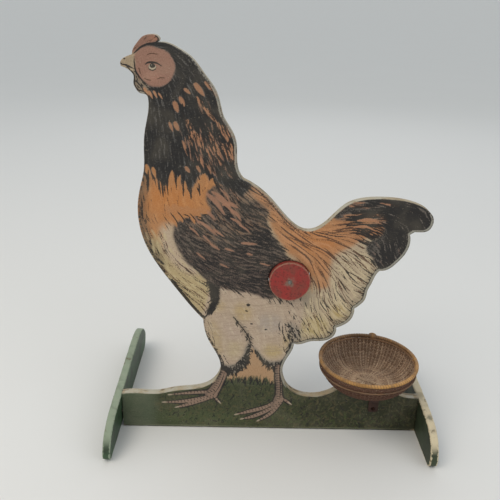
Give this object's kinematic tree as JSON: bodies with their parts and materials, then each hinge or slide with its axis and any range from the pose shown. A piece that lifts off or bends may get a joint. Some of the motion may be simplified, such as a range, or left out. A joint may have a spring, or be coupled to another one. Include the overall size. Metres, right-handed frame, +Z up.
{
  "type": "hen target game",
  "caption": "Standing plywood hen with a printed face. A ball that hits its round button lets a wooden egg drop into a basket under the tail.",
  "frame": {"origin": "on the floor, in the middle of the two feet (within 3 mm of the box's bottom centre, since the right foot sits a little further forward)", "axes": "+Z up; the printed face looks towards -Y; +X runs from the hen's head side towards its tail, which is to the right as the print is seen"},
  "size_m": [0.418, 0.2811, 0.5001],
  "materials": {
    "board_plywood": "aged plywood, bare on the back, with a thin worn coat of pale paint on the sawn edges",
    "printed_paper": "colour print on paper, pasted on the board and varnished, dull with age",
    "foot_paint": "sage green paint, worn pale along the edges",
    "button_paint": "dull red paint, chipped and rubbed by balls",
    "bare_wood": "bare pine, darkened with age",
    "egg_wood": "turned wood, cream paint, rubbed",
    "steel": "dull steel with a little rust",
    "spring_steel": "drawn wire, dull",
    "brass": "tarnished brass",
    "cane": "fine woven split cane, brown with age",
    "rim_cane": "wrapped golden cane, polished by handling",
    "strap_leather": "dark red-brown leather, dry"
  },
  "bodies": {
    "stand": {"basket_bowl": "cane", "basket_hoop": "rim_cane", "basket_knot": "rim_cane", "basket_rim": "rim_cane", "basket_seat_block": "bare_wood", "basket_strap": "strap_leather", "bracket_screws": "steel", "chute_bracket_lower": "bare_wood", "chute_bracket_upper": "bare_wood", "chute_end_stop": "bare_wood", "chute_floor": "bare_wood", "chute_rail": "bare_wood", "corner_blocks": "bare_wood", "foot_screws": "steel", "gate_block": "bare_wood", "gate_pin": "brass", "gate_spring": "spring_steel", "gate_washer": "brass", "guide_bar": "bare_wood", "guide_bush": "brass", "guide_screws": "steel", "hen_board": "board_plywood", "left_foot": "foot_paint", "lever_bracket": "steel", "lever_pin": "brass", "printed_face": "printed_paper", "rail_pins": "brass", "right_foot": "foot_paint", "seat_block_screws": "steel", "spring_washer": "steel", "strap_nail": "steel", "top_spacer": "bare_wood"},
    "plunger": {"target_button": "button_paint", "target_nail": "steel", "plunger_rod": "bare_wood", "stop_collar": "bare_wood", "return_spring": "spring_steel"},
    "lever": {"trigger_lever": "bare_wood"},
    "gate": {"egg_gate": "brass"},
    "first_egg": {"egg_1": "egg_wood"},
    "second_egg": {"egg_2": "egg_wood"}
  },
  "joints": [
    {"name": "button_push", "type": "slide", "parent": "stand", "child": "plunger", "axis": [0, 1, 0], "range_m": [0, 0.007], "stiffness_N_per_m": 350, "springref_m": -0.002, "deforming": ["return_spring"]},
    {"name": "lever_swing", "type": "hinge", "parent": "stand", "child": "lever", "pos_m": [0.0187, 0.008, 0.199], "axis": [-1, 0, 0], "range_deg": [0, 17]},
    {"name": "gate_turn", "type": "hinge", "parent": "stand", "child": "gate", "pos_m": [0.0387, 0.0005, 0.1734], "axis": [0, 0, 1], "range_deg": [0, 23]},
    {"name": "first_egg_lift", "type": "slide", "parent": "stand", "child": "first_egg", "axis": [0, 0, 1], "range_m": [0, 0.06]},
    {"name": "second_egg_roll", "type": "slide", "parent": "stand", "child": "second_egg", "axis": [-0.9848, 0, 0.1736], "range_m": [0, 0.06]}
  ],
  "couplings": [
    {"joint": "lever_swing", "follows": "button_push", "rad_per_m": 41.6},
    {"joint": "gate_turn", "follows": "button_push", "rad_per_m": 56.1}
  ]
}
